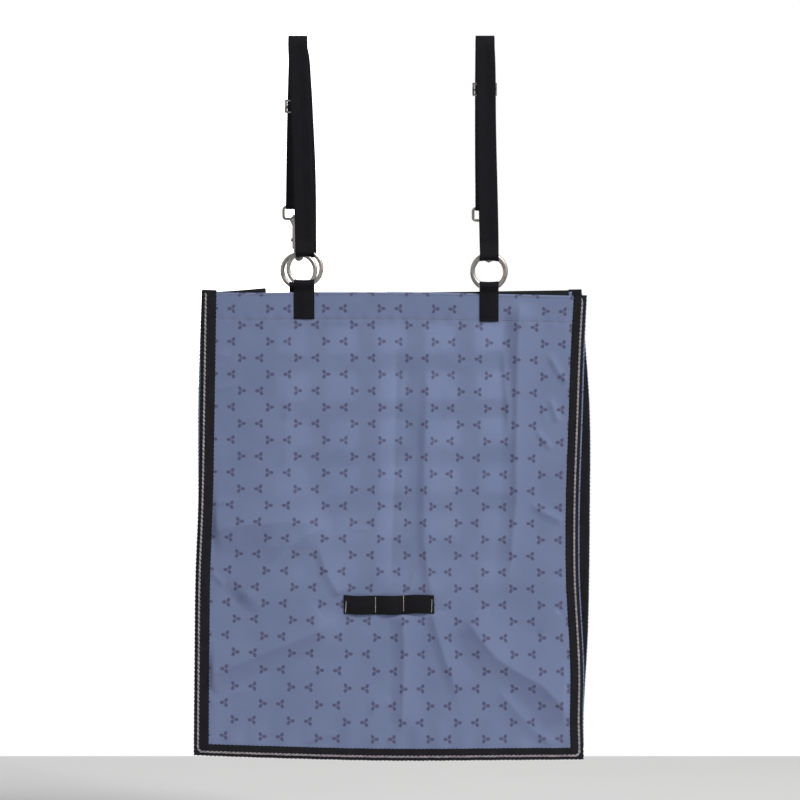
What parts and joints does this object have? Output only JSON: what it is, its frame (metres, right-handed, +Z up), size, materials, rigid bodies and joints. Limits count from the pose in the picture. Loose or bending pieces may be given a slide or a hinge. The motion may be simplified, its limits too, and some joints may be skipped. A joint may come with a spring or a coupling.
{
  "type": "hay bag",
  "caption": "Flat cloth hay bag with folded side gussets and a webbing feeding grid, hung by rings, snap hooks and adjustable webbing straps.",
  "frame": {"origin": "on the axis of the rail that carries the two strap loops, midway between the loops", "axes": "+X along the rail to the right as seen from the front, -Y towards the printed front, +Z up"},
  "size_m": [0.522, 0.0431, 0.9656],
  "materials": {
    "webbing": "matt woven black",
    "cloth": null,
    "binding": "matt ribbed black",
    "thread": "matt",
    "nickel": "satin nickel",
    "spring_steel": "satin"
  },
  "bodies": {
    "straps": {"strap_left": "webbing", "strap_right": "webbing", "strap_tail_left": "webbing", "strap_tail_right": "webbing", "snap_eye_left": "nickel", "snap_eye_right": "nickel"},
    "front_ring_left": {"ring_front_left": "nickel"},
    "front_ring_right": {"ring_front_right": "nickel"},
    "rear_ring_left": {"ring_rear_left": "nickel"},
    "rear_ring_right": {"ring_rear_right": "nickel"},
    "bag": {"tab_front_left": "webbing", "tab_front_right": "webbing", "tab_rear_left": "webbing", "tab_rear_right": "webbing", "front_panel": "cloth", "back_panel": "cloth", "side_gusset_left": "cloth", "side_gusset_right": "cloth", "bottom_gusset": "cloth", "front_binding": "binding", "back_binding": "binding", "back_top_binding": "binding", "gusset_top_binding_left": "binding", "gusset_top_binding_right": "binding", "tie_loop_strip": "webbing", "tie_loop_stitching": "thread", "hem_stitching": "thread", "front_binding_stitching": "thread", "back_binding_stitching": "thread", "grid_upright_1": "webbing", "grid_upright_2": "webbing", "grid_upright_3": "webbing", "grid_upright_4": "webbing", "grid_upright_5": "webbing", "grid_upright_6": "webbing", "grid_cross_1": "webbing", "grid_cross_2": "webbing", "grid_cross_3": "webbing", "grid_cross_4": "webbing", "grid_cross_5": "webbing", "grid_cross_6": "webbing", "grid_cross_7": "webbing"},
    "snap_left": {"snap_body_left": "nickel", "bolt_spring_left": "spring_steel"},
    "bolt_left": {"snap_bolt_left": "nickel", "thumb_knob_left": "nickel"},
    "strap_slider_left": {"slider_left": "nickel"},
    "snap_right": {"snap_body_right": "nickel", "bolt_spring_right": "spring_steel"},
    "bolt_right": {"snap_bolt_right": "nickel", "thumb_knob_right": "nickel"},
    "strap_slider_right": {"slider_right": "nickel"}
  },
  "joints": [
    {"name": "ring_swing_front_left", "type": "hinge", "parent": "straps", "child": "front_ring_left", "pos_m": [-0.1151, -0.01405, -0.2744], "axis": [1, 0, 0], "range_deg": [-25, 25]},
    {"name": "bag_hang", "type": "hinge", "parent": "front_ring_left", "child": "bag", "pos_m": [-0.1151, -0.01405, -0.3184], "axis": [1, 0, 0], "range_deg": [-25, 25]},
    {"name": "ring_swing_front_right", "type": "hinge", "parent": "straps", "child": "front_ring_right", "pos_m": [0.1303, -0.01405, -0.2782], "axis": [1, 0, 0], "range_deg": [-25, 25]},
    {"name": "ring_swing_rear_left", "type": "hinge", "parent": "straps", "child": "rear_ring_left", "pos_m": [-0.1241, 0.00762, -0.2765], "axis": [1, 0, 0], "range_deg": [-25, 25]},
    {"name": "ring_swing_rear_right", "type": "hinge", "parent": "straps", "child": "rear_ring_right", "pos_m": [0.1307, 0.00762, -0.2785], "axis": [1, 0, 0], "range_deg": [-25, 25]},
    {"name": "slider_slide_left", "type": "slide", "parent": "straps", "child": "strap_slider_left", "axis": [0.0202, 0, 0.9998], "range_m": [-0.1, 0.03], "deforming": ["strap_tail_left"]},
    {"name": "snap_swivel_left", "type": "hinge", "parent": "straps", "child": "snap_left", "pos_m": [-0.1295, 0.01405, -0.2327], "axis": [0, 0, 1], "range_deg": [-3, 3]},
    {"name": "bolt_slide_left", "type": "slide", "parent": "snap_left", "child": "bolt_left", "axis": [0, 0, 1], "range_m": [0, 0.008], "stiffness_N_per_m": 150, "springref_m": -0.004, "deforming": ["bolt_spring_left"]},
    {"name": "slider_slide_right", "type": "slide", "parent": "straps", "child": "strap_slider_right", "axis": [-0.0005, 0, 1], "range_m": [-0.12, 0.01], "deforming": ["strap_tail_right"]},
    {"name": "snap_swivel_right", "type": "hinge", "parent": "straps", "child": "snap_right", "pos_m": [0.1253, 0.01405, -0.2347], "axis": [0, 0, 1], "range_deg": [-3, 3]},
    {"name": "bolt_slide_right", "type": "slide", "parent": "snap_right", "child": "bolt_right", "axis": [0, 0, 1], "range_m": [0, 0.008], "stiffness_N_per_m": 150, "springref_m": -0.004, "deforming": ["bolt_spring_right"]}
  ],
  "couplings": [
    {"joint": "bag_hang", "follows": "ring_swing_front_left", "ratio": -1},
    {"joint": "ring_swing_front_right", "follows": "ring_swing_front_left", "ratio": 1},
    {"joint": "ring_swing_rear_left", "follows": "ring_swing_front_left", "ratio": 1},
    {"joint": "ring_swing_rear_right", "follows": "ring_swing_front_left", "ratio": 1}
  ]
}
